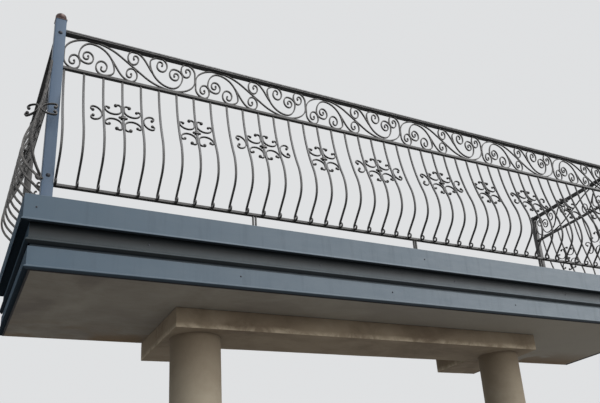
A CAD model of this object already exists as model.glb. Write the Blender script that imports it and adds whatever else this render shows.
"""Looks of a balcony with a wrought iron belly railing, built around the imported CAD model.

Lengths in the geometry sections are millimetres in the CAD's own frame, and sin and cos
take degrees. Each mesh is turned into metres when it is made, so every object sits at the
origin. In the material section lengths are metres.
"""

import math

import bmesh
import bpy
import numpy as np
from mathutils import Matrix, Vector, noise


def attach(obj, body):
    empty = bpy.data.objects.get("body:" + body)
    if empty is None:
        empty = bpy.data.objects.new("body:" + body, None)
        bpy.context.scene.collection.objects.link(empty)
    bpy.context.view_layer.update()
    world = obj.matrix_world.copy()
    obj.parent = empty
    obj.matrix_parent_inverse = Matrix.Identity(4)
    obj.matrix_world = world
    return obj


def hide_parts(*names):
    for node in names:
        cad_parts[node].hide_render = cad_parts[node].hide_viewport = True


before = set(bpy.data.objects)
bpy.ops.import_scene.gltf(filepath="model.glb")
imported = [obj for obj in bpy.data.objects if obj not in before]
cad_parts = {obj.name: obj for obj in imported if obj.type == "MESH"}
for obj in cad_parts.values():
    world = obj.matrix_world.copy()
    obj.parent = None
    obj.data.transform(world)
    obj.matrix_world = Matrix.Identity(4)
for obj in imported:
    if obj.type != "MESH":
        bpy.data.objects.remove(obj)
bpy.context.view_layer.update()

MM = 0.001  # a millimetre in metres

# Sizes, as in the source
PITCH, COUNT, BAR = 110.0, 44, 12.0
BELLY, BELLY_Z, PANEL_H = 135.0, 219.0, 771.0
FRIEZE_H, UNITS = 230.0, 6
SCROLL_T, SCROLL_D = 6.0, 13.0
POST_W, WALL_POST_W, POST_RISE, RAIL_GAP = 60.0, 45.0, 56.0, 102.5
END_GAP, SIDE_SPARE = 10.0, 30.0  # from a post to the first baluster, and what stays free on a side
BOTTOM_H, RAIL_W, MID_H, HAND_W, HAND_H = 16.0, 26.0, 18.0, 42.0, 27.0
DEPTH, SLAB_T, SLAB_EDGE, FLOOR_T = 1130.0, 395.0, 58.0, 20.0
BEAM_W, BEAM_H, BEAM_FRONT, BEAM_SIDE_W = 427.0, 128.0, 812.0, 400.0
COLUMN_D, COLUMN_H, LEFT_X, RIGHT_X = 315.0, 3007.0, -1408.0, 1087.0

FRONT_HALF = (COUNT - 1) * PITCH / 2
POST_X = FRONT_HALF + POST_W / 2 + END_GAP
FRONT_LEN = 2 * (POST_X - POST_W / 2)
SIDE_LEN = DEPTH - POST_W / 2 - WALL_POST_W
SIDE_COUNT = int((SIDE_LEN - SIDE_SPARE) // PITCH) + 1
Y_RAIL = -DEPTH
Y_SIDE = -WALL_POST_W - SIDE_LEN / 2

# Heights on the balcony, from the middle of the slab
SLAB_TOP = SLAB_T / 2
BEAM_BOTTOM = -SLAB_TOP - BEAM_H
Z_GROUND = BEAM_BOTTOM - COLUMN_H
Z_FLOOR = SLAB_TOP + FLOOR_T
Z_RAIL = Z_FLOOR + RAIL_GAP

# Heights in a railing panel, from the underside of its bottom rail
Z_MID = PANEL_H
Z_FRIEZE = Z_MID + MID_H
Z_HAND = Z_FRIEZE + FRIEZE_H
RAILING_TOP = Z_RAIL + Z_HAND + HAND_H
POST_TOP = RAILING_TOP + POST_RISE

# A panel is drawn along X with its outer face towards -Y, and moved to its place by one of these
SIDES = ((-1, "left"), (1, "right"))
AT_FRONT = Matrix.Translation((0, Y_RAIL, Z_RAIL))
AT_SIDE = {s: Matrix.Translation((s * POST_X, Y_SIDE, Z_RAIL)) @ Matrix.Rotation(s * math.pi / 2, 4, "Z")
           for s, side in SIDES}


def front_x(k):
    return -FRONT_HALF + k * PITCH


def side_x(s, k):
    """Where baluster k of a side panel stands."""
    return s * (-SIDE_LEN / 2 + END_GAP + k * PITCH)


def sin(a):
    return math.sin(math.radians(a))


def cos(a):
    return math.cos(math.radians(a))


def shift(x, y, z):
    return Matrix.Translation((x, y, z))


def scaled(x, y, z):
    return Matrix.Diagonal((x, y, z, 1))


def new_object(name, data):
    obj = bpy.data.objects.new(name, data)
    bpy.context.scene.collection.objects.link(obj)
    return obj


# Mesh building
class Builder:
    """Collects vertices and faces in millimetres and makes one object of them."""

    def __init__(self):
        self.verts, self.faces, self.count = [], [], 0

    def add(self, verts, faces):
        verts = np.asarray(verts, float).reshape(-1, 3)
        self.verts.append(verts)
        self.faces += [tuple(i + self.count for i in f) for f in faces]
        self.count += len(verts)

    def moved(self, matrix, other):
        """Adds another mesh, moved by a 4x4 matrix."""
        co = np.vstack(other.verts)
        m = np.array(matrix, float)
        faces = other.faces
        if np.linalg.det(m[:3, :3]) < 0:
            faces = [f[::-1] for f in faces]
        self.add(co @ m[:3, :3].T + m[:3, 3], faces)

    def make(self, name, material, slot, replaced=(), smooth=40):
        """Makes the object; edges sharper than smooth degrees stay crisp."""
        mesh = bpy.data.meshes.new(name)
        mesh.from_pydata((np.vstack(self.verts) * MM).tolist(), [], self.faces)
        mesh.validate()
        mesh.shade_smooth()
        mesh.set_sharp_from_angle(angle=math.radians(smooth))
        obj = new_object(name, mesh)
        mesh.materials.append(material)
        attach(obj, "root")
        if replaced:
            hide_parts(*replaced)
        return obj


def placed(local, matrix):
    """A new mesh: the given one moved by a matrix."""
    b = Builder()
    b.moved(matrix, local)
    return b


def fix_normals(obj):
    bm = bmesh.new()
    bm.from_mesh(obj.data)
    bmesh.ops.recalc_face_normals(bm, faces=bm.faces)
    bm.to_mesh(obj.data)
    bm.free()


def turns(n):
    """The angles of n points round a circle, in radians."""
    return [2 * math.pi * j / n for j in range(n)]


def ring_faces(rings, k):
    """Quads between each ring of k points and the next one."""
    return [(i * k + j, i * k + (j + 1) % k, (i + 1) * k + (j + 1) % k, (i + 1) * k + j)
            for i in range(rings - 1) for j in range(k)]


def tube_faces(rings, k):
    """The same, and the two faces that close the first and the last ring."""
    ends = [tuple(range(k - 1, -1, -1)), tuple(range((rings - 1) * k, rings * k))]
    return ring_faces(rings, k) + ends


def arc(c, rx, ry, a0, a1, n):
    """Points on an ellipse round c, from one angle to another in n steps."""
    return [(c[0] + rx * cos(a0 + (a1 - a0) * i / n), c[1] + ry * sin(a0 + (a1 - a0) * i / n))
            for i in range(n + 1)]


def chamfered(a, b, c):
    """Cross-section of a bar 2a by 2b with chamfers c, anticlockwise."""
    return [(a, -b + c), (a, b - c), (a - c, b), (-a + c, b),
            (-a, b - c), (-a, -b + c), (-a + c, -b), (a - c, -b)]


def rounded_square(a, r, n):
    """Cross-section of a square tube 2a wide with rounded corners."""
    b = a - r
    corners = ((b, -b, -90), (b, b, 0), (-b, b, 90), (-b, -b, 180))
    return [p for x, y, a0 in corners for p in arc((x, y), r, r, a0, a0 + 90, n)]


def sweep(builder, path, section, side, widths=None, deep=None):
    """Sweeps a section along a path that lies in the plane square to side.

    The section's first number runs in the plane, across the path, and is scaled by widths.
    The second runs along side and is scaled by deep.
    """
    p, s, sec = (np.asarray(v, float) for v in (path, side, section))
    t = np.gradient(p, axis=0)
    t /= np.linalg.norm(t, axis=1)[:, None]
    n = np.cross(s, t)
    n /= np.linalg.norm(n, axis=1)[:, None]
    w, d = (np.ones(len(p)) if v is None else np.asarray(v, float) for v in (widths, deep))
    points = (p[:, None, :] + n[:, None, :] * sec[None, :, :1] * w[:, None, None]
              + s[None, None, :] * sec[None, :, 1:] * d[:, None, None])
    faces = tube_faces(len(p), len(sec))
    flip = np.linalg.det(np.stack([n[0], s, t[0]])) < 0
    builder.add(points.reshape(-1, 3), [f[::-1] for f in faces] if flip else faces)


def ball(builder, centre, r, squash=(1, 1, 1), segments=14, rings=8):
    """A ball of radius r, squashed along X, Y and Z."""
    verts, faces = [], []
    for i in range(rings + 1):
        a = math.pi * i / rings
        for b in turns(segments):
            verts.append((centre[0] + r * squash[0] * math.sin(a) * math.cos(b),
                          centre[1] + r * squash[1] * math.sin(a) * math.sin(b),
                          centre[2] + r * squash[2] * math.cos(a)))
    for i in range(rings):
        for j in range(segments):
            a, b = i * segments + j, i * segments + (j + 1) % segments
            c, d = b + segments, a + segments
            faces.append((a, d, c) if i == 0 else (a, d, b) if i == rings - 1 else (a, d, c, b))
    builder.add(verts, faces)


def lathe(builder, centre, profile, axis, segments):
    """Turns a profile of (radius, height) round an axis through centre."""
    verts = []
    for r, h in profile:
        for b in turns(segments):
            u, v = r * math.cos(b), r * math.sin(b)
            q = {"z": (u, v, h), "y": (u, -h, v), "x": (h, u, v)}[axis]
            verts.append([c + d for c, d in zip(centre, q)])
    builder.add(verts, tube_faces(len(profile), segments))


def box_mesh(builder, lo, hi, r, step=0, wobble=0, seed=0):
    """A box with rounded edges; with a step, its sides are divided and its edges worn by noise."""
    lo, hi = np.array(lo, float), np.array(hi, float)
    size = hi - lo
    axes = []
    for k in range(3):
        n = max(1, int(round((size[k] - 2 * r) / step))) if step else 1
        edge = [0, 0.15 * r, 0.5 * r, r] if r > 1.5 else [0, r]
        inner = [r + (size[k] - 2 * r) * i / n for i in range(n + 1)]
        axes.append(np.array(edge[:-1] + inner + [size[k] - e for e in edge[:-1][::-1]]))
    index, verts = {}, []

    def vert(p):
        """The number of the vertex at p, pulled in onto the rounded edge."""
        key = tuple(np.round(p, 4))
        if key in index:
            return index[key]
        q = np.array(p)
        inner = np.clip(q, r, size - r)
        d = q - inner
        length = np.linalg.norm(d)
        if length > 1e-9:
            d = d / length
            q = inner + d * r
            if wobble:
                v = Vector(((lo + q) * 0.004).tolist()) + Vector((seed * 7.3, 0, 0))
                push = noise.noise(v) + 0.5 * noise.noise(v * 3.1)
                q = q - d * wobble * (0.75 - 0.5 * push)
        index[key] = len(verts)
        verts.append(lo + q)
        return index[key]

    faces = []
    for k in range(3):
        a, b = [(1, 2), (2, 0), (0, 1)][k]
        for end, value in ((0, 0.0), (1, size[k])):
            for i in range(len(axes[a]) - 1):
                for j in range(len(axes[b]) - 1):
                    quad = []
                    for ii, jj in ((i, j), (i + 1, j), (i + 1, j + 1), (i, j + 1)):
                        p = [0.0, 0.0, 0.0]
                        p[k], p[a], p[b] = value, axes[a][ii], axes[b][jj]
                        quad.append(vert(p))
                    if len(set(quad)) > 2:
                        faces.append(tuple(quad) if end else tuple(quad[::-1]))
    builder.add(verts, faces)


# Materials
class Mat:
    """A node material; sockets are passed about as plain values."""

    def __init__(self, name):
        self.material = bpy.data.materials.new(name)
        self.material.use_nodes = True
        self.tree = self.material.node_tree
        self.tree.nodes.clear()
        out = self.node("OutputMaterial")
        self.bsdf = self.node("BsdfPrincipled")
        self.put(out.inputs[0], self.bsdf.outputs[0])
        self.where = self.node("TexCoord").outputs["Object"]

    def put(self, socket, value):
        if isinstance(value, bpy.types.NodeSocket):
            self.tree.links.new(value, socket)
        else:
            socket.default_value = value

    def node(self, kind, **values):
        """A new node whose inputs get the given values or sockets."""
        node = self.tree.nodes.new("ShaderNode" + kind)
        for name, value in values.items():
            self.put(node.inputs[name], value)
        return node

    def stretched(self, x, y, z):
        return self.node("Mapping", Vector=self.where, Scale=(x, y, z)).outputs[0]

    def noise(self, scale, detail=4.0, rough=0.5, warp=0.0, where=None):
        return self.node("TexNoise", Vector=where or self.where, Scale=scale, Detail=detail,
                         Roughness=rough, Distortion=warp).outputs["Fac"]

    def cells(self, scale, feature="SMOOTH_F1"):
        node = self.node("TexVoronoi", Vector=self.where, Scale=scale)
        node.feature = feature
        return node.outputs["Distance"]

    def ramp(self, value, *stops):
        """A colour ramp; each stop is a place and a colour or a grey."""
        node = self.node("ValToRGB")
        while len(node.color_ramp.elements) < len(stops):
            node.color_ramp.elements.new(0.5)
        for element, (at, colour) in zip(node.color_ramp.elements, stops):
            element.position = at
            element.color = (colour,) * 3 + (1,) if isinstance(colour, (int, float)) else (*colour, 1)
        self.put(node.inputs[0], value)
        return node.outputs[0]

    def mix(self, share, a, b):
        """Colour b over colour a, by a share from 0 to 1."""
        node = self.node("Mix")
        node.data_type = "RGBA"
        self.put(node.inputs[0], share)
        for socket, value in ((node.inputs[6], a), (node.inputs[7], b)):
            self.put(socket, (*value, 1) if isinstance(value, tuple) else value)
        return node.outputs[2]

    def math(self, kind, a, b=0.0):
        node = self.node("Math")
        node.operation = kind
        self.put(node.inputs[0], a)
        self.put(node.inputs[1], b)
        return node.outputs[0]

    def times(self, a, b):
        return self.math("MULTIPLY", a, b)

    def to(self, value, low, high, out_low=0.0, out_high=1.0):
        """Maps the range from low to high onto another one, and stops at its ends."""
        node = self.node("MapRange")
        for socket, v in zip(node.inputs[:5], (value, low, high, out_low, out_high)):
            self.put(socket, v)
        return node.outputs[0]

    def number_of(self, vector, k):
        return self.node("SeparateXYZ", Vector=vector).outputs[k]

    def geometry(self, name):
        return self.node("NewGeometry").outputs[name]

    def axis(self, k):
        """How far along X, Y or Z a point lies."""
        return self.number_of(self.where, k)

    def upward(self):
        """1 on faces that look up, -1 on those that look down."""
        return self.number_of(self.geometry("Normal"), 2)

    def bump(self, height, strength, distance, before=None):
        node = self.node("Bump", Strength=strength, Distance=distance, Height=height)
        if before is not None:
            self.put(node.inputs["Normal"], before)
        return node.outputs[0]

    def finish(self, colour, rough, normal=None, metallic=0.0, specular=0.5):
        for name, value in (("Base Color", colour), ("Roughness", rough), ("Metallic", metallic),
                            ("Specular IOR Level", specular), ("Normal", normal)):
            if value is not None:
                self.put(self.bsdf.inputs[name], value)
        return self.material


def darker(colour, share):
    return tuple(share * v for v in colour)


def iron_paint(name, hammer, rubbed=0.0):
    """Black satin paint on forged iron: hammer marks, brush grain, dust on top, a little rust.

    Undersides are dull and sooty, where rain never washes them. Rubbed is the share of the
    silver-grey patina brushed over ornaments.
    """
    m = Mat(name)
    tone = m.ramp(m.noise(35, 5, 0.6), (0.3, (0.008, 0.008, 0.009)), (0.7, (0.019, 0.0185, 0.019)))
    dust = m.times(m.to(m.upward(), 0.6, 1.0, 0.0, 0.3), m.noise(90, 6, 0.7))
    tone = m.mix(dust, tone, (0.12, 0.115, 0.108))
    rust = m.times(m.ramp(m.noise(22, 8, 0.75), (0.62, 0.0), (0.72, 1.0)),
                   m.ramp(m.noise(260, 3, 0.6), (0.5, 0.0), (0.62, 1.0)))
    tone = m.mix(m.times(rust, 0.55), tone, (0.11, 0.045, 0.02))
    worn = m.times(m.ramp(m.geometry("Pointiness"), (0.53, 0.0), (0.6, 1.0)),
                   m.ramp(m.noise(60, 4, 0.6), (0.45, 0.0), (0.62, 0.6)))
    tone = m.mix(worn, tone, (0.08, 0.078, 0.074))
    if rubbed:
        brushed = m.ramp(m.noise(38, 5, 0.7), (0.4, 0.0), (0.62, rubbed))
        tone = m.mix(brushed, tone, (0.15, 0.143, 0.137))
    below = m.to(m.upward(), -0.55, -0.1, 1.0, 0.0)
    tone = m.mix(m.times(below, 0.8), tone, (0.004, 0.004, 0.004))
    rough = m.math("ADD", m.to(m.noise(140, 4, 0.6), 0.3, 0.7, 0.24, 0.38), m.times(below, 0.55))
    marks = m.bump(m.cells(95), hammer, 0.0012)
    normal = m.bump(m.noise(700, 4, 0.6), 0.12, 0.0004, marks)
    return m.finish(tone, rough, normal)


SHEET_FADED = (0.2, 0.235, 0.265)


def sheet_paint(name, light, dark, streaks, matt, specular, shade=None):
    """Coated blue-grey sheet metal: faint waves, an orange-peel grain, dirt that has run down.

    It fades towards the right end of the balcony. With shade, grime darkens it upwards
    between the two heights.
    """
    m = Mat(name)
    tone = m.mix(m.noise(1.1, 3, 0.5), dark, light)
    along = m.math("ADD", m.axis(0), m.times(m.noise(0.8, 3, 0.5), 0.8))
    tone = m.mix(m.to(along, -2.3, 1.6, 0.0, 0.9), tone, SHEET_FADED)
    fine = m.noise(5, 7, 0.7, where=m.stretched(1, 1, 5))
    tone = m.mix(m.times(m.to(fine, 0.35, 0.75), 0.3), tone, light)
    run = m.noise(26, 5, 0.65, where=m.stretched(1, 1, 0.09))
    run = m.times(m.ramp(run, (0.52, 0.0), (0.75, 1.0)), streaks * 0.4)
    tone = m.mix(run, tone, darker(dark, 0.45))
    dust = m.to(m.upward(), 0.4, 1.0, 0.0, 0.55)
    tone = m.mix(m.times(dust, m.noise(14, 6, 0.7)), tone, (0.3, 0.29, 0.27))
    specks = m.ramp(m.noise(330, 2, 0.5), (0.74, 0.0), (0.78, 0.6))
    tone = m.mix(specks, tone, (0.05, 0.055, 0.06))
    if shade:
        tone = m.mix(m.to(m.axis(2), *shade, 0.0, 0.88), tone, darker(dark, 0.1))
    below = m.to(m.upward(), -0.7, -0.25, 0.85, 0.0)
    tone = m.mix(below, tone, darker(dark, 0.12))
    rough = m.math("ADD", m.to(m.noise(9, 5, 0.6), 0.3, 0.7, matt, matt + 0.08), m.times(below, 0.4))
    waves = m.bump(m.noise(2.2, 2, 0.4, where=m.stretched(1, 1, 2.6)), 0.25, 0.012)
    normal = m.bump(m.noise(520, 3, 0.5), 0.06, 0.0004, waves)
    return m.finish(tone, rough, normal, specular=specular)


def sealant_line(m):
    """Dark sealant where the soffit meets the sheet metal, on three sides."""
    outward = ((m.times(m.axis(1), -1.0), DEPTH), (m.math("ABSOLUTE", m.axis(0)), POST_X))
    lines = [m.to(way, (size + SLAB_EDGE - 13) * MM, (size + SLAB_EDGE - 9) * MM)
             for way, size in outward]
    return m.math("MAXIMUM", *lines)


def by_the_wall(m):
    """Where water from the wall has stained the plaster next to it."""
    near = m.to(m.axis(1), -0.42, -0.03)
    return m.times(near, m.ramp(m.noise(2.6, 6, 0.6, 0.9), (0.42, 0.0), (0.56, 1.0)))


def along_the_beam(m):
    """Fresh mortar smeared on by hand along the beam's lower edge."""
    foot = BEAM_BOTTOM * MM
    edge = m.math("ADD", m.axis(2), m.times(m.noise(4.5, 5, 0.65, 0.8), -0.06))
    low = m.times(m.to(edge, foot - 0.022, foot + 0.008, 1.0, 0.0),
                  m.to(m.upward(), -0.8, -0.3))
    return m.times(low, m.ramp(m.noise(7, 5, 0.65, 1.4), (0.4, 0.15), (0.58, 0.9)))


def under_the_beam(m):
    """A brownish top of the column, where plaster and water ran down from the beam."""
    top = BEAM_BOTTOM * MM
    height = m.math("ADD", m.axis(2), m.times(m.noise(6, 4, 0.6), 0.1))
    return m.times(m.to(height, top - 0.34, top + 0.05), 0.75)


def plaster(name, tones, patches, grain, stain, stained, joint=None, dried=0.0):
    """Bare cement plaster, laid on by trowel: clouds, damp patches, float marks and sand grain.

    Tones are light, middle and dark. Stain and joint say where a second colour and a black
    line lie. Dried is how much paler it is at the right end of the balcony than at the left.
    """
    light, mid, dark = tones
    m = Mat(name)
    cloud = m.noise(1.6, 6, 0.62, 0.6)
    tone = m.ramp(cloud, (0.3, dark), (0.5, mid), (0.72, light))
    marks = m.noise(9, 6, 0.7, 1.2, where=m.stretched(0.45, 1.4, 1.0))
    tone = m.mix(m.times(m.to(marks, 0.4, 0.7), 0.3), tone, light)
    damp = m.ramp(m.noise(0.95, 4, 0.55, 1.5), (0.5, 0.0), (0.6, 1.0))
    tone = m.mix(m.times(damp, patches), tone, dark)
    if dried:
        tone = m.mix(m.to(m.axis(0), -2.4, 1.2, 0.0, dried), tone, light)
    tone = m.mix(stain(m), tone, stained)
    if joint:
        tone = m.mix(joint(m), tone, (0.006, 0.006, 0.008))
    sand = m.noise(420, 3, 0.6)
    tone = m.mix(m.times(m.to(sand, 0.3, 0.7), 0.16), tone, dark)
    pits = m.ramp(m.cells(48, "F1"), (0.05, 1.0), (0.12, 0.0))
    pits = m.times(pits, m.ramp(m.noise(12, 3, 0.5), (0.55, 0.0), (0.65, 1.0)))
    tone = m.mix(m.times(pits, 0.5), tone, dark)
    rough = m.to(cloud, 0.3, 0.7, 0.82, 0.95)
    trowel = m.bump(marks, 0.35 * grain, 0.006)
    sandy = m.bump(sand, 0.35 * grain, 0.0015, trowel)
    return m.finish(tone, rough, m.bump(pits, -0.4, 0.002, sandy), specular=0.25)


def tile_clay(name):
    """Glazed stoneware floor tile, stone grey with a cloudy print and dust."""
    m = Mat(name)
    tone = m.ramp(m.noise(5.5, 8, 0.68, 0.8), (0.3, (0.2, 0.19, 0.175)), (0.7, (0.33, 0.315, 0.29)))
    tone = m.mix(m.times(m.noise(170, 4, 0.7), 0.35), tone, (0.14, 0.13, 0.12))
    rough = m.to(m.noise(30, 4, 0.6), 0.3, 0.7, 0.42, 0.62)
    return m.finish(tone, rough, m.bump(m.noise(60, 6, 0.6), 0.12, 0.0015))


def grout_clay(name):
    """Grey cement between the tiles."""
    m = Mat(name)
    tone = m.ramp(m.noise(60, 5, 0.7), (0.3, (0.11, 0.105, 0.1)), (0.7, (0.2, 0.19, 0.18)))
    return m.finish(tone, 0.92, m.bump(m.noise(500, 3, 0.6), 0.4, 0.001), specular=0.2)


def finial_paint(name):
    """Copper-brown hammered paint with darker hollows."""
    m = Mat(name)
    marks = m.cells(150)
    tone = m.ramp(marks, (0.1, (0.05, 0.03, 0.03)), (0.6, (0.11, 0.066, 0.06)))
    tone = m.mix(m.times(m.noise(70, 5, 0.6), 0.5), tone, (0.06, 0.04, 0.032))
    rough = m.to(m.noise(90, 4, 0.6), 0.3, 0.7, 0.22, 0.38)
    return m.finish(tone, rough, m.bump(marks, 0.4, 0.0012), metallic=0.3)


def bolt_zinc(name, tone):
    """Screw and bolt heads: painted over, with bare spots."""
    m = Mat(name)
    spots = m.ramp(m.noise(420, 4, 0.7), (0.35, darker(tone, 0.55)), (0.7, tone))
    rough = m.to(m.noise(600, 3, 0.6), 0.3, 0.7, 0.3, 0.5)
    return m.finish(spots, rough, m.bump(m.noise(900, 2, 0.5), 0.2, 0.0003), metallic=0.3)


IRON = iron_paint("forged_iron_paint", 0.22)
HAND_IRON = iron_paint("hammered_handrail_paint", 0.5, 0.25)
SCROLL_IRON = iron_paint("patinated_scroll_paint", 0.22, 0.5)
SIDE_IRON = iron_paint("patinated_side_paint", 0.3, 0.8)
SHEET_TONES = ((0.058, 0.096, 0.135), (0.045, 0.078, 0.113))
SHEET = sheet_paint("blue_grey_sheet", *SHEET_TONES, 0.5, 0.46, 0.28)
SIDE_SHEET = sheet_paint("blue_grey_side_sheet", *SHEET_TONES, 0.5, 0.8, 0.06)
MID_SHEET = sheet_paint("shaded_sheet", (0.038, 0.052, 0.06), (0.028, 0.039, 0.046), 0.4, 0.4, 0.2,
                        shade=(-0.05, 0.02))
RECESS = sheet_paint("dark_flashing", (0.03, 0.04, 0.052), (0.02, 0.029, 0.038), 0.3, 0.6, 0.1)
POST = sheet_paint("post_paint", (0.064, 0.112, 0.185), (0.048, 0.088, 0.15), 0.35, 0.4, 0.36)
SOFFIT = plaster("soffit_plaster", ((0.4, 0.372, 0.32), (0.26, 0.236, 0.198), (0.165, 0.14, 0.122)),
                 0.5, 0.5, by_the_wall, (0.2, 0.135, 0.075), sealant_line, 0.8)
BEAM = plaster("beam_plaster", ((0.4, 0.33, 0.246), (0.31, 0.25, 0.18), (0.17, 0.127, 0.087)),
               0.5, 0.6, along_the_beam, (0.62, 0.53, 0.4))
COLUMN = plaster("column_plaster", ((0.42, 0.372, 0.29), (0.355, 0.31, 0.24), (0.26, 0.215, 0.158)),
                 0.3, 0.5, under_the_beam, (0.15, 0.108, 0.068))
TILE = tile_clay("stoneware_tile")
GROUT = grout_clay("tile_grout")
COPPER = finial_paint("copper_brown_paint")
BOLT_DARK = bolt_zinc("dark_bolt", (0.012, 0.017, 0.028))
SCREW_GREY = bolt_zinc("painted_screw", (0.035, 0.042, 0.055))


def iron(node, mesh, paint=IRON, smooth=35):
    """Makes the forged piece that takes the place of a CAD node."""
    mesh.make(f"iron_{node}", paint, "iron", [node], smooth)


# Balusters: from the top, a long arc leans out further and further, a shorter one turns back
# to upright at the belly, and a third turns in under it and runs straight to the foot
LEAN_TOP, LEAN_MAX, UPPER, SLOPE = 6.0, 23.0, 0.74, 45.0
RISE = PANEL_H - BELLY_Z
R_LONG = RISE * UPPER / (sin(LEAN_MAX) - sin(LEAN_TOP))
R_FULL = RISE * (1 - UPPER) / sin(LEAN_MAX)
SWING = R_LONG * (cos(LEAN_TOP) - cos(LEAN_MAX)) + R_FULL * (1 - cos(LEAN_MAX))
TENON = 4.0
# The source has a plain ring at each foot; here it is the open hook of the photograph
CURL_R, CURL_END_R, CURL_X, CURL_Z, CURL_TURN = 22.0, 8.0, 30.0, 22.0, 278.0
FOOT_X = CURL_X - CURL_R * sin(SLOPE)
FOOT_Z = CURL_Z + CURL_R * cos(SLOPE)


def belly_lean(z):
    return math.degrees(math.asin(sin(LEAN_TOP) + (PANEL_H - z) / R_LONG))


# How far out the long arc is at a height, and its tilt in radians
def belly_out(belly, z):
    return belly / SWING * R_LONG * (cos(LEAN_TOP) - cos(belly_lean(z)))


def belly_tilt(belly, z):
    return math.atan(belly / SWING * math.tan(math.radians(belly_lean(z))))


def belly_path(belly, top):
    """Centre line of a baluster as (out, height) and its width at each point."""
    k = belly / SWING
    low = (BELLY_Z - FOOT_Z - belly + FOOT_X) / (2 * sin(SLOPE) - 1)
    pts = [(-k * math.tan(math.radians(LEAN_TOP)) * top, PANEL_H + top)]
    for i in range(17):
        a = LEAN_TOP + (LEAN_MAX - LEAN_TOP) * i / 16
        pts.append((k * R_LONG * (cos(LEAN_TOP) - cos(a)), PANEL_H - R_LONG * (sin(a) - sin(LEAN_TOP))))
    for i in range(1, 10):
        a = LEAN_MAX * (1 - i / 9)
        pts.append((belly - k * R_FULL * (1 - cos(a)), BELLY_Z + R_FULL * sin(a)))
    for i in range(1, 15):
        a = SLOPE * i / 14
        pts.append((belly - low * (1 - cos(a)), BELLY_Z - low * sin(a)))
    out, height = pts[-1]
    for i in range(1, 9):
        t = i / 9
        pts.append((out + (FOOT_X - out) * t, height + (FOOT_Z - height) * t))
    widths = [1.0] * len(pts)
    for i in range(31):
        t = i / 30
        a, r = 180 - SLOPE + CURL_TURN * t, CURL_R + (CURL_END_R - CURL_R) * t ** 1.6
        pts.append((CURL_X + r * cos(a), CURL_Z + r * sin(a)))
        widths.append(1 - 0.42 * t)
    return pts, widths


def baluster(builder, x, belly, top, seed):
    """A forged bar with a hook at its foot, which reaches top above the panel."""
    pts, widths = belly_path(belly, top)
    path = [(x, -out, z) for out, z in pts]
    forged = [w * (0.985 + 0.015 * noise.noise(Vector((seed * 3.7, 0.02 * p[1], 0))))
              for w, p in zip(widths, pts)]
    drawn_out = [0.35 + 0.65 * w for w in widths]
    sweep(builder, path, chamfered(BAR / 2, BAR / 2, 1.3), (1, 0, 0), forged, drawn_out)
    ball(builder, path[-1], 6.4, (1.05, 1, 1), 12, 8)
    # the weld that seats the hook on the rail, and the one under the mid rail
    ball(builder, (x + 3, -9.5, BOTTOM_H + 0.5), 5.5, (1.1, 0.8, 0.5), 10, 6)
    if top < MID_H:
        ball(builder, (x, -6.3, PANEL_H - 1.2), 6.5, (1.0, 0.35, 0.3), 10, 6)


def row_of(xs):
    """A row of balusters at the given places."""
    b = Builder()
    for i, x in enumerate(xs):
        baluster(b, x, BELLY, TENON, i)
    return b


for side, run in (("left", range(COUNT // 2)), ("right", range(COUNT // 2, COUNT))):
    iron(f"balusters_front_{side}", placed(row_of([front_x(k) for k in run]), AT_FRONT))
for s, side in SIDES:
    row = row_of([side_x(s, k) for k in range(SIDE_COUNT)])
    iron(f"balusters_{side}", placed(row, AT_SIDE[s]), SIDE_IRON)


# Rosettes
ROS_Z, FIRST, APART, PAIRS = 478.0, 3, 4, 5
C_HALF = (PITCH - BAR - SCROLL_T) / 2
FLAT = chamfered(SCROLL_T / 2, SCROLL_D / 2, 1.3)
LARGE_SNUB, SMALL_SNUB, OPEN_SNUB = 11.0, 9.0, 9.5


def spiral(c, r0, r1, a0, a1, n):
    """Points round c while the radius goes from r0 to r1."""
    return [(c[0] + (r0 + (r1 - r0) * i / n) * cos(a0 + (a1 - a0) * i / n),
             c[1] + (r0 + (r1 - r0) * i / n) * sin(a0 + (a1 - a0) * i / n)) for i in range(n + 1)]


def open_c(a, b, r):
    """An open C, a wide and 2b high, that ends in curls of radius r."""
    x = -a - SCROLL_T / 2
    half_c = arc((x, 0), a, b, 0, 90, 13) + spiral((x, b - r), r, r * 0.57, 90, 250, 14)[1:]
    return [(u, -v) for u, v in half_c][::-1] + half_c[1:]


INNER_C = (arc((C_HALF - 16, 31), 16, 16, 0, 150, 12)[::-1] + arc((0, 0), C_HALF, 42, 0, -180, 24)
           + arc((-C_HALF + 11, 4), 11, 11, 180, 20, 11))
OUTER_C = open_c(45, 57, 21)
CORNER_C = open_c(66, 43, 17)


def scroll(path, r0, r1):
    """A forged flat scroll with rolled ball ends, flat in the XZ plane, thinner near its ends."""
    b = Builder()
    pts = [(u, 0, v) for u, v in path]
    last = len(pts) - 1
    taper = [0.8 + 0.2 * min(1, min(i, last - i) / 6) for i in range(last + 1)]
    sweep(b, pts, FLAT, (0, 1, 0), [1.12 * w for w in taper], taper)
    for end, r in ((pts[0], r0), (pts[-1], r1)):
        ball(b, end, r, segments=14, rings=9)
    return b


def collar(builder):
    """The clasp on the middle baluster: a ribbed block with a ball on each side."""
    for z, w, h in ((0, 12.5, 5.0), (-7.4, 14, 2.6), (7.4, 14, 2.6)):
        box_mesh(builder, (-w, -w * 0.79, z - h), (w, w * 0.79, z + h), 1.4)
    for s in (-1, 1):
        ball(builder, (s * 19, 0, 0), 8.0, segments=16, rings=10)
        lathe(builder, (s * 11.8, 0, 0), [(4.5, 0), (5.2, s * 1.2), (4.5, s * 2.4)], "x", 12)


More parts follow.
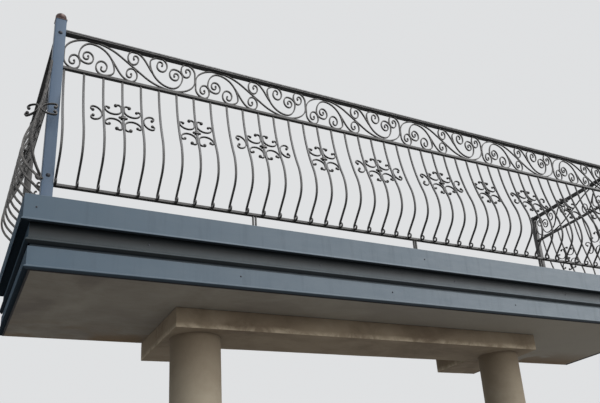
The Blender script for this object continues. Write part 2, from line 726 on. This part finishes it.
def rosette(wide):
    """Four scrolls round a collar, and with wide an open C on each side of them."""
    b = Builder()
    inner = scroll(INNER_C, LARGE_SNUB, SMALL_SNUB)
    for s in (-1, 1):
        for u in (-1, 1):
            b.moved(scaled(s, 1, u) @ shift(-PITCH / 2, 0, 63), inner)
    collar(b)
    if wide:
        outer = scroll(OUTER_C, OPEN_SNUB, OPEN_SNUB)
        for s in (-1, 1):
            b.moved(scaled(s, 1, 1) @ shift(-PITCH - BAR / 2, 0, 0), outer)
    return b


def on_belly(x):
    """The place and tilt of a rosette on the baluster at x."""
    return (shift(x, -belly_out(BELLY, ROS_Z), ROS_Z)
            @ Matrix.Rotation(-belly_tilt(BELLY, ROS_Z), 4, "X"))


ROSETTES = {wide: rosette(wide) for wide in (True, False)}
front = Builder()
for i in range(PAIRS):
    for k in (FIRST + APART * i, COUNT - 1 - FIRST - APART * i):
        front.moved(AT_FRONT @ on_belly(front_x(k)), ROSETTES[i % 2 == 0])
iron("rosettes_front", front, SCROLL_IRON, 40)
for s, side in SIDES:
    pair = Builder()
    for k, wide in ((FIRST, True), (FIRST + APART, False)):
        pair.moved(AT_SIDE[s] @ on_belly(side_x(s, k)), ROSETTES[wide])
    iron(f"rosettes_{side}", pair, SCROLL_IRON, 40)


# Corner bars
CORNER_OFF, CORNER_Z, CORNER_BELLY = 47.0, 432.0, BELLY * 0.74


def corner_bar():
    """A bellied bar off the corner post, with the stub that holds its foot and two scrolls."""
    b = Builder()
    bar = Builder()
    baluster(bar, 0, CORNER_BELLY, MID_H, 99)
    b.moved(shift(0, -CORNER_OFF, 0), bar)
    box_mesh(b, (-6, -CORNER_OFF - 6, CURL_Z - 6), (6, -CORNER_OFF + 8, CURL_Z + 6), 1.2)
    out, tilt = belly_out(CORNER_BELLY, CORNER_Z), belly_tilt(CORNER_BELLY, CORNER_Z)
    for turn, flip in ((37, 1), (0, -1)):
        b.moved(shift(0, -CORNER_OFF - out, CORNER_Z) @ Matrix.Rotation(math.radians(turn), 4, "Z")
                @ shift(flip * 4, 0, 0) @ Matrix.Rotation(-tilt, 4, "X") @ scaled(-flip, 1, 1),
                scroll(CORNER_C, OPEN_SNUB, OPEN_SNUB))
    return b


corners = Builder()
for s, side in SIDES:
    corners.moved(shift(s * POST_X, Y_RAIL, Z_RAIL) @ scaled(-s, 1, 1)
                  @ Matrix.Rotation(-math.pi / 4, 4, "Z"), corner_bar())
iron("corner_bars", corners, SIDE_IRON)


# Scroll frieze: the bars' centre lines, as in the source
F_LO, F_HI, F_MID, F_PEAK = SCROLL_T / 2, FRIEZE_H - SCROLL_T / 2, FRIEZE_H / 2, 150.0
F_SIDE = SCROLL_T / 2 - 0.6
F_WIDER = 1.34  # in the photograph the bars look this much thicker than in the source
# Half the profile of a rolled tip
ROLL = [(0.5, 0.0), (4.2, 0.0), (5.8, 1.2), (6.0, 3.0)]
WAYS = np.array(((1, 0), (0, 1), (-1, 0), (0, -1)), float)


def chain(p, heading, turn, quarters, share):
    """Quarter ellipses, each (width, height), that turn the heading by 90 degrees.

    Of the last one only a share is drawn.
    """
    pts, p, k = [], np.array(p, float), heading
    for i, (w, h) in enumerate(quarters):
        d, e = WAYS[k % 4], WAYS[(k + turn) % 4]
        ahead, across = (w, h) if k % 2 == 0 else (h, w)
        part = share if i == len(quarters) - 1 else 1.0
        n = max(4, int(round((w + h) / 7)))
        for j in range(1, n + 1):
            a = 90 * part * j / n
            pts.append(p + d * ahead * sin(a) + e * across * (1 - cos(a)))
        p, k = pts[-1], (k + turn) % 4
    return [tuple(q) for q in pts]


def long_bar(l):
    """The S bar of a unit l long; its second half is the first one turned round."""
    dx, dy = l / 2 - F_PEAK, F_HI - F_MID
    a = 1.5 * math.degrees(math.atan2(dy, dx))
    r = (dx * sin(a) - dy * cos(a)) / (1 - cos(a))
    inner = chain((59, F_LO), 0, 1, [(33, 49), (29, 49), (31, 42), (16, 24), (15, 15), (9, 13)], 0.6)
    end = (F_PEAK + r * sin(a), F_HI - r * (1 - cos(a)))
    half = (inner[::-1] + [(59, F_LO)] + chain((59, F_LO), 2, -1, [(59 - F_SIDE, 61)], 1)
            + [(F_SIDE, 82), (F_SIDE, 98), (F_SIDE, F_MID)]
            + chain((F_SIDE, F_MID), 1, -1, [(F_PEAK - F_SIDE, dy)], 1)
            + [(F_PEAK + r * sin(a * i / 14), F_HI - r * (1 - cos(a * i / 14))) for i in range(1, 15)]
            + [(end[0] + (l / 2 - end[0]) * i / 4, end[1] + (F_MID - end[1]) * i / 4) for i in range(1, 4)])
    return half + [(l - u, FRIEZE_H - v) for u, v in half][::-1]


def arch_bar():
    """The bar that arches over the S bar and curls in at both ends."""
    foot = (83, 103)
    over = chain(foot, 1, -1, [(72, 106), (134, 159), (64, 47)], 1)
    inner = chain(foot, 3, 1, [(50, 43), (33, 42), (31, 41), (27, 31), (15, 23), (16, 16), (8, 12)], 0.6)
    return (inner[::-1] + [foot] + over
            + chain(over[-1], 2, -1, [(42, 49), (34, 48), (29, 34), (20, 37), (15, 17), (8, 12)], 0.6))


def branch_bar():
    """The bar that leaves the S bar in a soft bend and ends in a curl."""
    a, b, c, d = (272, 128), (305, 88), (325, F_LO), (389, F_LO)
    curve = []
    for i in range(17):
        t, s = i / 16, 1 - i / 16
        curve.append(tuple(s ** 3 * a[k] + 3 * s * s * t * b[k] + 3 * s * t * t * c[k] + t ** 3 * d[k]
                           for k in (0, 1)))
    return curve + chain(d, 0, 1, [(36, 48), (30, 48), (34, 44), (16, 25), (15, 18), (8, 12)], 0.6)


def frieze_bar(builder, path, ends, seed):
    """One flat bar of the frieze; ends says for each end whether it is drawn out and rolled."""
    pts = [(u, 0, v) for u, v in path]
    last, drawn = len(pts) - 1, 10
    widths = []
    for i in range(last + 1):
        w = F_WIDER + 0.035 * noise.noise(Vector((seed, i * 0.11, 0)))
        for away, rolled in ((i, ends[0]), (last - i, ends[1])):
            if rolled and away < drawn:
                w *= 0.82 + 0.018 * away
        widths.append(w)
    sweep(builder, pts, chamfered(SCROLL_T / 2, SCROLL_D / 2, 1.1), (0, 1, 0), widths)
    for tip, rolled in ((pts[0], ends[0]), (pts[-1], ends[1])):
        if rolled:
            lathe(builder, (tip[0], SCROLL_D / 2, tip[2]),
                  ROLL + [(r, SCROLL_D - h) for r, h in ROLL[::-1]], "y", 16)


def frieze_unit(l, seed):
    """An S bar, with an arch bar and a branch bar at each end of it."""
    b = Builder()
    frieze_bar(b, long_bar(l), (True, True), seed)
    part = Builder()
    frieze_bar(part, arch_bar(), (True, True), seed + 5)
    frieze_bar(part, branch_bar(), (False, True), seed + 9)
    # welds where bars meet
    for u, v in ((83.5, 86.6), (275, 124), (224, 4)):
        ball(part, (u, 0, v), 4.5, (1, 1.35, 1), 10, 6)
    b.moved(Matrix.Identity(4), part)
    b.moved(shift(l, 0, FRIEZE_H) @ Matrix.Rotation(math.pi, 4, "Y"), part)
    return b


for name, matrix, start, length, count in (
        ("front_left", AT_FRONT, -FRONT_LEN / 2, FRONT_LEN / UNITS, UNITS // 2),
        ("front_right", AT_FRONT, 0, FRONT_LEN / UNITS, UNITS // 2),
        ("left", AT_SIDE[-1], -SIDE_LEN / 2, SIDE_LEN, 1),
        ("right", AT_SIDE[1], -SIDE_LEN / 2, SIDE_LEN, 1)):
    frieze = Builder()
    for i in range(count):
        frieze.moved(matrix @ shift(start + i * length, 0, Z_FRIEZE), frieze_unit(length, i * 1.7))
    iron(f"frieze_{name}", frieze, SCROLL_IRON)


# Rails
SHOULDER = 13.0  # where the handrail's hammered top starts


def hand_profile():
    """Cross-section of the handrail: a round bead under a squarish, domed top."""
    w = HAND_W / 2
    half_side = [(w - 3, 0.0)] + arc((w - 5, 5), 5, 5, -60, 60, 6) + [(w - 4, 12)]
    top = []
    for i in range(19):
        c, h = cos(10 * i), sin(10 * i)
        top.append((math.copysign((w - 1) * abs(c) ** 0.5, c), 14 + (HAND_H - 14) * abs(h) ** 0.6))
    return half_side + top + [(-u, v) for u, v in half_side][::-1]


def hand_rail(length, seed):
    """Moulded handrail whose top was hammered: rows of shallow dents."""
    section = hand_profile()
    n, k = int(length / 7), len(section)
    verts = []
    for i in range(n + 1):
        x = -length / 2 + length * i / n
        for u, v in section:
            q = Vector((x * 0.055, u * 0.075, seed * 5.1))
            dent = 0.7 * max(0.0, noise.noise(q)) if v > SHOULDER and 0 < i < n else 0.0
            verts.append((x, -u * (1 - dent / 20), Z_HAND + v - dent))
    # the section runs the other way round than those of the sweeps
    faces = [(a, d, c, b) for a, b, c, d in ring_faces(n + 1, k)]
    rail = Builder()
    rail.add(verts, faces + [end[::-1] for end in tube_faces(n + 1, k)[-2:]])
    return rail


def flat_rail(length, z, h, seed):
    """A rolled bar with eased edges that is never quite straight."""
    n = int(length / 35)
    path, widths = [], []
    for i in range(n + 1):
        x = -length / 2 + length * i / n
        path.append((x, 0, z + h / 2))
        widths.append(1 + 0.012 * noise.noise(Vector((x * 0.02, seed, 0))))
    b = Builder()
    sweep(b, path, [(v, u) for u, v in chamfered(RAIL_W / 2, h / 2, 1.5)][::-1], (0, 1, 0), widths)
    return b


for side, matrix, length in (("front", AT_FRONT, FRONT_LEN), ("left", AT_SIDE[-1], SIDE_LEN),
                             ("right", AT_SIDE[1], SIDE_LEN)):
    seed = len(side)
    iron(f"handrail_{side}", placed(hand_rail(length, seed), matrix), HAND_IRON, 50)
    iron(f"mid_rail_{side}", placed(flat_rail(length, Z_MID, MID_H, seed), matrix))
    iron(f"bottom_rail_{side}", placed(flat_rail(length, 0, BOTTOM_H, seed + 3), matrix))


def rail_leg(x):
    """Two short flat legs under the bottom rail, on a foot plate with welds and two bolts."""
    b = Builder()
    plate_top = -RAIL_GAP + 6
    for s in (-1, 1):
        box_mesh(b, (x + s * 9 - 4, -8, -RAIL_GAP), (x + s * 9 + 4, 8, 0), 0.9)
        ball(b, (x + s * 9, 0, plate_top), 7, (0.9, 1.4, 0.35), 12, 6)
    box_mesh(b, (x - 30, -20, -RAIL_GAP), (x + 30, 20, plate_top), 1.0)
    for s in (-1, 1):
        lathe(b, (x + s * 22, 0, plate_top), [(5.5, 0), (5.5, 3.2), (4.6, 4.2), (1.2, 4.6)], "z", 12)
    return b


legs = Builder()
for matrix, xs in ((AT_FRONT, (-11 * PITCH, 0, 11 * PITCH)), (AT_SIDE[-1], (0,)), (AT_SIDE[1], (0,))):
    for x in xs:
        legs.moved(matrix, rail_leg(x))
iron("rail_legs", legs)


# Posts
CAP_HEAD = [(12, 0), (12, 1.2), (10.5, 1.6), (10.2, 3.0), (8.4, 5.6), (5.2, 7.4), (0.4, 8.2)]
BOLT_HEIGHTS = (47, 1002)


def square_post(x, y, w, top, ease):
    """A square tube from the floor up, with its edges rounded by ease."""
    b = Builder()
    path = [(x, y, Z_FLOOR + (top - Z_FLOOR) * i / 40) for i in range(41)]
    sweep(b, path, rounded_square(w / 2, ease, 4), (1, 0, 0))
    return b


def finial(x):
    """A square plate, a neck and a globe, turned and hammered."""
    b = Builder()
    half = POST_W / 2 + 3
    box_mesh(b, (x - half, Y_RAIL - half, POST_TOP), (x + half, Y_RAIL + half, POST_TOP + 5), 1.6)
    neck = [((POST_W - 8) / 2, 4.5), (24, 6.4), (19, 8.2), (15.5, 9.6), (14.8, 11.0)]
    globe = [(31 * sin(a), 31 - 25.5 * cos(a)) for a in range(40, 176, 7)]
    lathe(b, (x, Y_RAIL, POST_TOP), neck + globe + [(0.3, 56.5)], "z", 40)
    return b


for s, side in SIDES:
    x = s * POST_X
    square_post(x, Y_RAIL, POST_W, POST_TOP, 3.2).make(
        f"painted_post_{side}", POST, "post_paint", [f"corner_post_{side}"], 35)
    iron(f"wall_post_{side}", square_post(x, -WALL_POST_W / 2, WALL_POST_W, RAILING_TOP, 2.2))
    finial(x).make(f"ball_finial_{side}", COPPER, "finial", [f"finial_{side}"], 35)
    bolts = Builder()
    for z in BOLT_HEIGHTS:
        lathe(bolts, (x, Y_RAIL - POST_W / 2, Z_RAIL + z), CAP_HEAD, "y", 24)
    bolts.make(f"post_bolts_{side}", BOLT_DARK, "post_paint")


# Sheet metal bands: outlines as (distance out from the posts' line, height over the slab's top)
EDGE_LIP, LIP_H, FACE_LOW, FACE_UP = 98.0, 130.0, 72.0, 110.0
MID_TOP, MID_LOW, LOW_TOP = -LIP_H - 4.5, -SLAB_T * 0.632, -SLAB_T * 0.679
UP_OUTLINE = [(50, 0), (50, 6), (107, 6), (FACE_UP, 3), (FACE_UP, 1 - LIP_H),
              (FACE_UP + 8.5, -LIP_H - 11), (FACE_UP + 6.5, -LIP_H - 14), (FACE_UP - 3, MID_TOP),
              (FACE_LOW, MID_TOP), (FACE_LOW, -LIP_H), (EDGE_LIP, -LIP_H), (EDGE_LIP, 0)]
MID_OUTLINE = [(SLAB_EDGE, MID_TOP), (FACE_LOW, MID_TOP), (FACE_LOW, MID_LOW + 29),
               (FACE_LOW + 16, MID_LOW + 13), (FACE_LOW + 15, MID_LOW + 9), (FACE_LOW - 1, MID_LOW - 5),
               (FACE_LOW - 4, MID_LOW + 3), (SLAB_EDGE, MID_LOW + 3)]
LOW_OUTLINE = [(SLAB_EDGE, LOW_TOP), (FACE_LOW - 3, LOW_TOP), (FACE_LOW, LOW_TOP - 3),
               (FACE_LOW, -SLAB_T + 24), (FACE_LOW + 13, -SLAB_T + 12), (FACE_LOW + 12, -SLAB_T + 9),
               (FACE_LOW + 1, -SLAB_T - 3), (FACE_LOW - 3, -SLAB_T + 2), (SLAB_EDGE, -SLAB_T + 2)]
# Dark flashing on the slab's edge between the middle and the lower band
RECESS_OUTLINE = [(SLAB_EDGE, LOW_TOP), (SLAB_EDGE + 2, LOW_TOP), (SLAB_EDGE + 2, MID_LOW + 3),
                  (SLAB_EDGE, MID_LOW + 3)]
BEND_R, BEND_STEPS = 2.0, 3


def eased(outline):
    """The outline with every corner turned into a small bend."""
    pts, corners = [], np.array(outline, float)
    for i, p in enumerate(corners):
        da, db = corners[i - 1] - p, corners[(i + 1) % len(corners)] - p
        la, lb = np.linalg.norm(da), np.linalg.norm(db)
        d = min(BEND_R, 0.4 * la, 0.4 * lb)
        p0, p1 = p + da / la * d, p + db / lb * d
        for j in range(BEND_STEPS + 1):
            t = j / BEND_STEPS
            pts.append(tuple((1 - t) ** 2 * p0 + 2 * t * (1 - t) * p + t * t * p1))
    return pts


def band(name, outline, where, replaced, seed, material):
    """A bent sheet along one side of the slab, mitred where it meets the next one.

    Where is 0 for the front and -1 or 1 for a side. Its faces are very slightly wavy.
    """
    section = eased(outline)
    length = DEPTH if where else 2 * POST_X
    n = int(length / 60)
    verts = []
    for i in range(n + 1):
        t = i / n
        for o, h in section:
            wavy = 0 < i < n and o > SLAB_EDGE + 2
            dip = 0.5 * abs(noise.noise(Vector((t * length * 0.006, seed, h * 0.01)))) if wavy else 0
            if where:
                verts.append((where * (POST_X + o - dip), Y_RAIL - o + (DEPTH + o) * t, SLAB_TOP + h))
            else:
                verts.append((-(POST_X + o) + 2 * (POST_X + o) * t, Y_RAIL - (o - dip), SLAB_TOP + h))
    b = Builder()
    b.add(verts, tube_faces(n + 1, len(section)))
    fix_normals(b.make(name, material, "sheet_metal", replaced, 50))


for where, side in ((0, "front"), *SIDES):
    for level, outline, metal in (("upper", UP_OUTLINE, SHEET), ("middle", MID_OUTLINE, MID_SHEET),
                                  ("lower", LOW_OUTLINE, SHEET)):
        band(f"sheet_{level}_{side}", outline, where, [f"fascia_{level}_{side}"], len(level) + where,
             SIDE_SHEET if where else metal)
    band(f"flashing_{side}", RECESS_OUTLINE, where, (), where, RECESS)

# Screws with washers: how far out a band's face is, the row's height over the slab's top, and
# the places along the front, where the photograph shows them, and along the sides
SCREWS = ((FACE_UP, -67.0, (-2455, -18, 2420), (-950, -250)),
          (FACE_LOW, -188.5, (-1872, -810, 248, 1326, 2380), (-900, -220)),
          (FACE_LOW, -317.5, (-1338, -286, 784, 1845), (-980, -300)))
SCREW_HEAD = [(5.6, 0.0), (5.6, 0.8), (4.4, 1.1), (4.2, 2.0), (3.2, 3.3), (1.7, 4.1), (0.3, 4.4)]
screws = Builder()
for face, h, xs, ys in SCREWS:
    for x in xs:
        lathe(screws, (x, Y_RAIL - face, SLAB_TOP + h), SCREW_HEAD, "y", 16)
    for s, side in SIDES:
        for y in ys:
            head = [(r, s * d) for r, d in SCREW_HEAD]
            lathe(screws, (s * (POST_X + face), y, SLAB_TOP + h), head, "x", 16)
fix_normals(screws.make("band_screws", SCREW_GREY, "sheet_metal"))


# Slab, beams and columns
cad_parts["slab"].data.materials.clear()
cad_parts["slab"].data.materials.append(SOFFIT)

BEAM_L, BEAM_R = LEFT_X - COLUMN_D / 2 - 36, RIGHT_X + COLUMN_D / 2 + 60
BEAM_BACK = -BEAM_FRONT + BEAM_W
COLUMN_Y = -BEAM_FRONT + BEAM_W / 2 + 15
AROUND = 96

for side, x0, x1, y0, y1 in (("front", BEAM_L, BEAM_R, -BEAM_FRONT, BEAM_BACK),
                             ("left", BEAM_L, BEAM_L + BEAM_SIDE_W, BEAM_BACK, 0),
                             ("right", BEAM_R - BEAM_SIDE_W, BEAM_R, BEAM_BACK, 0)):
    beam = Builder()
    box_mesh(beam, (x0, y0, BEAM_BOTTOM), (x1, y1, -SLAB_TOP), 5.0, 30.0, 2.4, len(side))
    beam.make(f"plaster_beam_{side}", BEAM, "plaster", [f"beam_{side}"], 60)


def round_point(x, r, a, z):
    """The point at angle a of a ring of radius r round a column's axis."""
    return (x + r * math.cos(a), COLUMN_Y + r * math.sin(a), z)


def column(x):
    """A round column that isn't quite even, with plaster pressed into the joint above it."""
    b = Builder()
    r, rings = COLUMN_D / 2, 91
    verts = []
    for i in range(rings):
        z = Z_GROUND + (BEAM_BOTTOM - Z_GROUND) * i / (rings - 1)
        for a in turns(AROUND):
            q = Vector((math.cos(a) * 1.3, math.sin(a) * 1.3, z * 0.0035 + x))
            hollow = 0.9 * abs(noise.noise(q)) + 0.5 * abs(noise.noise(q * 3.3))
            verts.append(round_point(x, r - hollow, a, z))
    b.add(verts, tube_faces(rings, AROUND))

    size = [4.5 + 1.5 * noise.noise(Vector((math.cos(a) * 2, math.sin(a) * 2, x * 0.01)))
            for a in turns(AROUND)]
    verts = []
    for step in range(6):
        t = 90 * step / 5
        for a, w in zip(turns(AROUND), size):
            verts.append(round_point(x, r - 1 + w * (1 - cos(t)), a, BEAM_BOTTOM - w * 1.6 * (1 - sin(t))))
    b.add(verts, ring_faces(6, AROUND))
    return b


for side, x in (("left", LEFT_X), ("right", RIGHT_X)):
    column(x).make(f"plaster_column_{side}", COLUMN, "column_plaster", [f"column_{side}"], 60)


# Floor: a bed of grout with stoneware tiles laid from the wall outwards
TILE_SIZE, JOINT, NARROWEST = 300.0, 4.0, 12.0
X_EDGE, Y_EDGE = POST_X + 50, Y_RAIL - 50


def tile(builder, x0, x1, y0, y1, top):
    """A tile with a small bevel round its top."""
    verts = []
    for inset, z in ((0, Z_FLOOR - 4), (0, top - 1.0), (0.5, top - 0.3), (1.4, top)):
        verts += [(x0 + inset, y0 + inset, z), (x1 - inset, y0 + inset, z),
                  (x1 - inset, y1 - inset, z), (x0 + inset, y1 - inset, z)]
    builder.add(verts, ring_faces(4, 4) + [(12, 13, 14, 15), (3, 2, 1, 0)])


bed = Builder()
box_mesh(bed, (-X_EDGE, Y_EDGE, SLAB_TOP), (X_EDGE, 0, Z_FLOOR - 2.2), 0.5)
bed.make("floor_grout", GROUT, "floor", ["floor_finish"], 30)
tiles = Builder()
for row in range(math.ceil(-Y_EDGE / TILE_SIZE)):
    y1 = -row * TILE_SIZE
    y0 = max(Y_EDGE, y1 - TILE_SIZE)
    for col in range(math.ceil(2 * X_EDGE / TILE_SIZE)):
        x0 = -X_EDGE + col * TILE_SIZE
        x1 = min(X_EDGE, x0 + TILE_SIZE)
        if min(x1 - x0, y1 - y0) > NARROWEST:
            drop = 0.25 * (1 + noise.noise(Vector((row * 1.3, col * 1.9, 0))))
            tile(tiles, x0 + JOINT / 2, x1 - JOINT / 2, y0 + JOINT / 2, y1 - JOINT / 2, Z_FLOOR - drop)
tiles.make("floor_tiles", TILE, "floor", (), 50)


# Stage, light and camera
def is_seen(tree):
    """1 where a ray comes from the camera, a mirror or a pane, 0 where it only carries light."""
    path = tree.nodes.new("ShaderNodeLightPath")
    seen = path.outputs["Is Camera Ray"]
    for kind in ("Is Glossy Ray", "Is Transmission Ray"):
        node = tree.nodes.new("ShaderNodeMath")
        node.operation = "MAXIMUM"
        tree.links.new(seen, node.inputs[0])
        tree.links.new(path.outputs[kind], node.inputs[1])
        seen = node.outputs[0]
    return seen


def stage_material(name, seen, lit):
    """A pale floor to look at, which throws less light back at the object than it shows."""
    m = Mat(name)
    colour = m.mix(is_seen(m.tree), lit, seen)
    tone = m.mix(m.times(m.noise(0.4, 3, 0.5), 0.04), colour, (0.5, 0.5, 0.5))
    return m.finish(tone, 1.0, specular=0.0)


FLOOR_HALF = 60.0
FLOOR_SEEN, FLOOR_LIT = (0.8, 0.8, 0.8), (0.26, 0.255, 0.245)
floor_corners = [(u * FLOOR_HALF, v * FLOOR_HALF, Z_GROUND * MM)
                 for u, v in ((-1, -1), (1, -1), (1, 1), (-1, 1))]
mesh = bpy.data.meshes.new("stage_floor")
mesh.from_pydata(floor_corners, [], [(0, 1, 2, 3)])
stage = new_object("stage_floor", mesh)
mesh.materials.append(stage_material("stage_pale", FLOOR_SEEN, FLOOR_LIT))

# The sky lights the object; rays that are seen meet a pale backdrop instead
SKY_COLOUR, SKY_STRENGTH, BACKDROP = (0.93, 0.96, 1.0), 0.3, (0.74, 0.75, 0.76)
world = bpy.data.worlds.new("studio")
bpy.context.scene.world = world
world.use_nodes = True
nodes, links = world.node_tree.nodes, world.node_tree.links
nodes.clear()
out, sky, back, pick = (nodes.new("ShaderNode" + kind)
                        for kind in ("OutputWorld", "Background", "Background", "MixShader"))
sky.inputs[0].default_value = (*SKY_COLOUR, 1)
sky.inputs[1].default_value = SKY_STRENGTH
back.inputs[0].default_value = (*BACKDROP, 1)
back.inputs[1].default_value = 1.0
links.new(is_seen(world.node_tree), pick.inputs[0])
links.new(sky.outputs[0], pick.inputs[1])
links.new(back.outputs[0], pick.inputs[2])
links.new(pick.outputs[0], out.inputs[0])


def soft_light(name, place, strength, spread, colour):
    """A wide light that comes from one direction over the whole object."""
    data = bpy.data.lights.new(name, "SUN")
    data.energy = strength
    data.angle = math.radians(spread)
    data.color = colour
    lamp = new_object(name, data)
    lamp.rotation_euler = (-Vector(place)).to_track_quat("-Z", "Y").to_euler()


# As in the photograph: a bright sky in front, more of it low on the right, and a weaker one overhead
soft_light("front_soft", (0.35, -0.82, 0.42), 2.0, 62.0, (1.0, 0.98, 0.95))
soft_light("side_soft", (0.85, -0.5, 0.25), 0.45, 40.0, (0.98, 0.985, 1.0))
soft_light("top_soft", (0.3, -0.3, 0.9), 1.2, 40.0, (0.97, 0.98, 1.0))

# Camera worked out from the photograph; the photograph is a crop, so its centre is off the axis
PHOTO_W, PHOTO_H, SENSOR = 600.0, 403.0, 36.0
FOCAL, CENTRE = 717.9, (370.0, 245.0)
RIGHT, DOWN = (0.85616, -0.50766, -0.09628), (0.12082, 0.37786, -0.91794)
AHEAD, EYE = (0.50238, 0.77428, 0.38485), (-2.8179, -4.8921, -1.6343)
data = bpy.data.cameras.new("camera")
data.sensor_fit = "HORIZONTAL"
data.sensor_width = SENSOR
data.lens = FOCAL / PHOTO_W * SENSOR
data.shift_x = -(CENTRE[0] - PHOTO_W / 2) / PHOTO_W
data.shift_y = (CENTRE[1] - PHOTO_H / 2) / PHOTO_W
data.clip_start, data.clip_end = 0.05, 300.0
camera = new_object("camera", data)
camera.matrix_world = Matrix([(RIGHT[k], -DOWN[k], -AHEAD[k], EYE[k]) for k in range(3)] + [(0, 0, 0, 1)])
bpy.context.scene.camera = camera
bpy.context.scene.view_settings.view_transform = "Standard"
